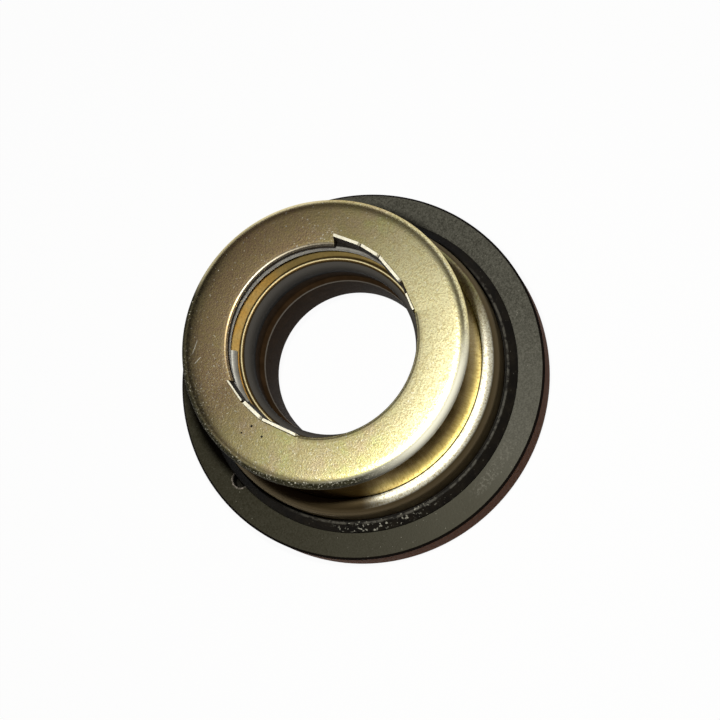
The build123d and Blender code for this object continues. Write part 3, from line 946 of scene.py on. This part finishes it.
# Spring cup
LIPS = [(UPPER_LIP, UPPER_LIP_SHEET), (LOWER_LIP, LOWER_LIP_SHEET)]
LIP_LEAN = 0.2
LIP_SETBACK = 0.05
LIP_WAVE = 0.02
NICK_HALF = 0.8
NICK_DEPTH = 0.7
TORN_DIP = (-22.0, -14.5, 0.75)
FLUSH_DROP = 0.3
HOLE_STEPS = 11
HOLE_ROUND = 0.5
DARK_STEPS = 4
LIP_DARK_STEPS = 3
WALL_SLOT = 1
TORN_SLOT = 2
BEAD_START = 16.7
BEAD_SQUARENESS = 2.8
BEAD_STEPS = 20
NECK_STEPS = 14
CUP_INSIDE = rounded([(CUP_SKIRT - CUP_SHEET, CUP_FLANGE_TOP - CUP_SHEET, 0),
                      (CUP_SKIRT - CUP_SHEET, CUP_CEILING, 0.9),
                      (CUP_HOLE + 1.0, CUP_CEILING, 0)], 6)[:-1]


def signed(angle):
    """The same angle between -180 and 180 degrees."""
    return (angle + 180) % 360 - 180


def chord_radius(start, end, angle):
    """Radius at which a ray from the axis meets the chord between two places (angle, radius)."""
    a = polar(*start, 0)
    span = polar(*end, 0) - a
    ray = polar(angle, 1, 0)
    return (a.x * span.y - a.y * span.x) / (ray.x * span.y - ray.y * span.x)


def lip_at(angle):
    """Torn lip at an angle, with its outer radius and thickness there, or None."""
    for lip, sheets in LIPS:
        for start, end, sheet in zip(lip, lip[1:], sheets):
            low, high = sorted((start[0], end[0]))
            for turn in (angle, angle - 360):
                if low <= turn <= high:
                    return lip, chord_radius(start, end, turn), sheet
    return None


def lip_height(lip, angle):
    """Level of a lip's torn edge, with a nick at each inner corner and one longer dip."""
    nearest = min(abs(signed(angle - corner)) for corner, radius in lip[1:-1])
    dip = NICK_DEPTH if nearest < NICK_HALF else 0.0
    start, end, depth = TORN_DIP
    if start <= signed(angle) <= end:
        dip = depth
    return LIP_TOP - LIP_SETBACK - dip + LIP_WAVE * math.sin(angle * 0.5)


def hole_edge(angle):
    """Points from the underside of the sheet up over the hole's edge, or over a torn lip."""
    torn = lip_at(angle)
    if torn is None:
        points = [(CUP_HOLE, CUP_CEILING)]
        for sine, cosine in quarter(HOLE_STEPS - 2):
            points.append((CUP_HOLE + HOLE_ROUND * (1 - cosine), CUP_TOP - HOLE_ROUND * (1 - sine)))
        return points
    lip, radius, sheet = torn
    top = lip_height(lip, angle)
    points = [(radius - sheet - LIP_LEAN, CUP_CEILING), (radius - sheet, top), (radius, top)]
    count = HOLE_STEPS - len(points)
    for k in range(1, count + 1):
        t = k / count
        points.append((radius - LIP_LEAN * t * t, top + (CUP_TOP - top) * t))
    return points


def bead_outline():
    """Bead round the cup's face: a squarish quarter ellipse, then an S down to the skirt."""
    points = []
    for sine, cosine in quarter(BEAD_STEPS):
        out = sine ** (2 / BEAD_SQUARENESS)
        rise = max(cosine, 0.0) ** (2 / BEAD_SQUARENESS)
        points.append((BEAD_START + (CUP_BEAD - BEAD_START) * out,
                       CUP_BEAD_LEVEL + (CUP_TOP - CUP_BEAD_LEVEL) * rise))
    for k in range(1, NECK_STEPS + 1):
        t = k / NECK_STEPS
        blend = t * t * (3 - 2 * t)
        points.append((CUP_BEAD + (CUP_SKIRT - CUP_BEAD) * blend,
                       CUP_BEAD_LEVEL + (CUP_NECK_LEVEL - CUP_BEAD_LEVEL) * t))
    return points


def cup_section(angle):
    """Section of the cup at an angle: inside, hole or lip, bead, skirt and the flange at its foot."""
    foot = [
        (CUP_SKIRT, CUP_FLANGE_TOP),
        (CUP_FLANGE, CUP_FLANGE_TOP),
        (CUP_FLANGE, CUP_FLANGE_TOP - CUP_SHEET),
    ]
    return CUP_INSIDE + hole_edge(angle) + bead_outline() + foot


def build_spring_cup():
    """Cup with three finishes: zinc, the sheared inside of the hole painted dark as shade, and the torn
    edge.
    """
    piece = lathe("spring_cup_drawn", cup_section, CUP_SEGMENTS, cup_material())
    piece.data.materials.append(hole_wall_material())
    piece.data.materials.append(torn_material())
    count = len(cup_section(0.0))
    for i in range(CUP_SEGMENTS):
        angle = 360 * (i + 0.5) / CUP_SEGMENTS
        torn = lip_at(angle)
        slots = [WALL_SLOT] * DARK_STEPS
        if torn is not None:
            flush = lip_height(torn[0], angle) > LIP_TOP - FLUSH_DROP
            slots = [WALL_SLOT, TORN_SLOT if flush else WALL_SLOT] + [WALL_SLOT] * LIP_DARK_STEPS
        for k, slot in enumerate(slots):
            piece.data.polygons[i * count + len(CUP_INSIDE) + k].material_index = slot
    dress(piece, "cup", "spring_cup")


# Spring
SPRING_CLOSED = 0.08
SPRING_RISEN = 0.72
SPRING_EASE = 0.5
WIRE_STEPS = 360
WIRE_SIDES = 24


def coil_share(t):
    """Share of the spring's rise at a share of its length; both ends lie flat."""
    share = min(max((t - SPRING_CLOSED) / (SPRING_RISEN - SPRING_CLOSED), 0.0), 1.0)
    return share + (share * share * (3 - 2 * share) - share) * SPRING_EASE


def build_spring():
    """Wire swept along a helix, its ends cut square."""
    radius = WIRE_DIAMETER / 2
    low = SPRING_LOW + radius
    high = SPRING_HIGH - radius
    points = []
    for k in range(WIRE_STEPS + 1):
        t = k / WIRE_STEPS
        angle = SPRING_START + 360 * SPRING_TURNS * t
        centre = polar(angle, SPRING_RADIUS, low + (high - low) * coil_share(t))
        out = polar(angle, 1, 0).normalized()
        for m in range(WIRE_SIDES):
            turn = 2 * math.pi * m / WIRE_SIDES
            points.append(centre + (out * math.cos(turn) + Vector((0, 0, 1)) * math.sin(turn)) * radius * MM)
    faces = []
    for k in range(WIRE_STEPS):
        here = k * WIRE_SIDES
        after = here + WIRE_SIDES
        for m in range(WIRE_SIDES):
            n = (m + 1) % WIRE_SIDES
            faces.append((here + m, here + n, after + n, after + m))
    faces.append(tuple(range(WIRE_SIDES)))
    faces.append(tuple(reversed(range(WIRE_STEPS * WIRE_SIDES, (WIRE_STEPS + 1) * WIRE_SIDES))))
    piece = make_object("spring_wire", points, faces, wire_material())
    dress(piece, "seal_head", "spring")
    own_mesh(piece)


build_seal_ring()
build_bellows()
build_shell()
build_spring_seat()
build_spring_cup()
build_spring()


# ---------------------------------------------------------------- floor, light and camera
# The floor's sizes are in metres; the light's and the camera's places are in millimetres
FLOOR_RADIUS = 2.0
FLOOR_WALL = 0.5
FLOOR_SIDES = 96
FLOOR_LIT = (0.25, 0.24, 0.23, 1)
FLOOR_SEEN = (0.90, 0.90, 0.90, 1)
FLOOR_GLOW = 0.96
FLOOR_ROUGHNESS = 0.9

KEY_PLACE = (3.0, -29.0, 150.0)
KEY_AIM = (0.0, 0.0, 12.0)
KEY_SIZE = 8.0
KEY_POWER = 0.178
KEY_COLOUR = (1.0, 0.99, 0.92)
WORLD_COLOUR = (1.0, 0.80, 0.74, 1)
WORLD_STRENGTH = 0.035

# Camera fitted to the ellipses of the photo; its axes are in the part's frame
CAMERA_RIGHT = Vector((0.66262, -0.71067, -0.23641))
CAMERA_UP = Vector((0.74896, 0.62875, 0.20916))
CAMERA_BACK = Vector((0.0, -0.31565, 0.94888))
CAMERA_ASIDE = 0.1205
CAMERA_RAISED = 1.7805
CAMERA_AWAY = 260.0
CAMERA_LENS = 97.11
CAMERA_SENSOR = 36.0


def floor_material():
    """White to camera, glossy and transmission rays; grey to the light that it bounces."""
    material = bpy.data.materials.new("floor_pale")
    material.use_nodes = True
    nodes = material.node_tree.nodes
    links = material.node_tree.links
    surface = nodes["Principled BSDF"]
    surface.inputs["Roughness"].default_value = FLOOR_ROUGHNESS
    glow = nodes.new("ShaderNodeEmission")
    glow.inputs["Color"].default_value = (1, 1, 1, 1)
    path = nodes.new("ShaderNodeLightPath")
    direct = nodes.new("ShaderNodeMath")
    direct.operation = "MAXIMUM"
    links.new(path.outputs["Is Camera Ray"], direct.inputs[0])
    links.new(path.outputs["Is Glossy Ray"], direct.inputs[1])
    seen = nodes.new("ShaderNodeMath")
    seen.operation = "MAXIMUM"
    links.new(direct.outputs[0], seen.inputs[0])
    links.new(path.outputs["Is Transmission Ray"], seen.inputs[1])
    tone = nodes.new("ShaderNodeMix")
    tone.data_type = "RGBA"
    links.new(seen.outputs[0], tone.inputs[0])
    tone.inputs[6].default_value = FLOOR_LIT
    tone.inputs[7].default_value = FLOOR_SEEN
    links.new(tone.outputs[2], surface.inputs["Base Color"])
    share = nodes.new("ShaderNodeMath")
    share.operation = "MULTIPLY"
    share.inputs[1].default_value = FLOOR_GLOW
    links.new(seen.outputs[0], share.inputs[0])
    mix = nodes.new("ShaderNodeMixShader")
    links.new(share.outputs[0], mix.inputs[0])
    links.new(surface.outputs[0], mix.inputs[1])
    links.new(glow.outputs[0], mix.inputs[2])
    links.new(mix.outputs[0], nodes["Material Output"].inputs["Surface"])
    return material


def build_floor():
    """Pale disc with a low wall far out, so that a low view meets no horizon."""
    points = []
    for level in (0.0, FLOOR_WALL):
        for k in range(FLOOR_SIDES):
            turn = 2 * math.pi * k / FLOOR_SIDES
            points.append((FLOOR_RADIUS * math.cos(turn), FLOOR_RADIUS * math.sin(turn), level))
    faces = [tuple(range(FLOOR_SIDES))]
    for k in range(FLOOR_SIDES):
        m = (k + 1) % FLOOR_SIDES
        faces.append((m, k, FLOOR_SIDES + k, FLOOR_SIDES + m))
    mesh = bpy.data.meshes.new("floor")
    mesh.from_pydata(points, [], faces)
    mesh.materials.append(floor_material())
    floor = bpy.data.objects.new("floor", mesh)
    bpy.context.scene.collection.objects.link(floor)


def build_key():
    """Small round softbox above the part, where the photo's shadows put it."""
    lamp = bpy.data.lights.new("key", "AREA")
    lamp.shape = "DISK"
    lamp.size = KEY_SIZE * MM
    lamp.energy = KEY_POWER
    lamp.color = KEY_COLOUR
    light = bpy.data.objects.new("key", lamp)
    bpy.context.scene.collection.objects.link(light)
    light.location = Vector(KEY_PLACE) * MM
    away = light.location - Vector(KEY_AIM) * MM
    light.rotation_euler = away.to_track_quat("Z", "Y").to_euler()


def build_camera():
    """Camera at the photo's angle, for a square picture."""
    camera_data = bpy.data.cameras.new("camera")
    camera_data.lens = CAMERA_LENS
    camera_data.sensor_width = CAMERA_SENSOR
    camera_data.clip_start = 0.01
    camera_data.clip_end = 20.0
    camera = bpy.data.objects.new("camera", camera_data)
    bpy.context.scene.collection.objects.link(camera)
    shift = CAMERA_ASIDE * CAMERA_RIGHT + CAMERA_RAISED * CAMERA_UP + CAMERA_AWAY * CAMERA_BACK
    place = (Vector((0, 0, RING_TOP)) + shift) * MM
    turn = Matrix((CAMERA_RIGHT, CAMERA_UP, CAMERA_BACK)).transposed().to_4x4()
    camera.matrix_world = Matrix.Translation(place) @ turn
    bpy.context.scene.camera = camera


def build_world():
    """Dim warm light from all round."""
    world = bpy.data.worlds.new("studio")
    world.use_nodes = True
    background = world.node_tree.nodes["Background"]
    background.inputs["Color"].default_value = WORLD_COLOUR
    background.inputs["Strength"].default_value = WORLD_STRENGTH
    bpy.context.scene.world = world


build_floor()
build_key()
build_camera()
build_world()
bpy.context.scene.view_settings.view_transform = "Standard"
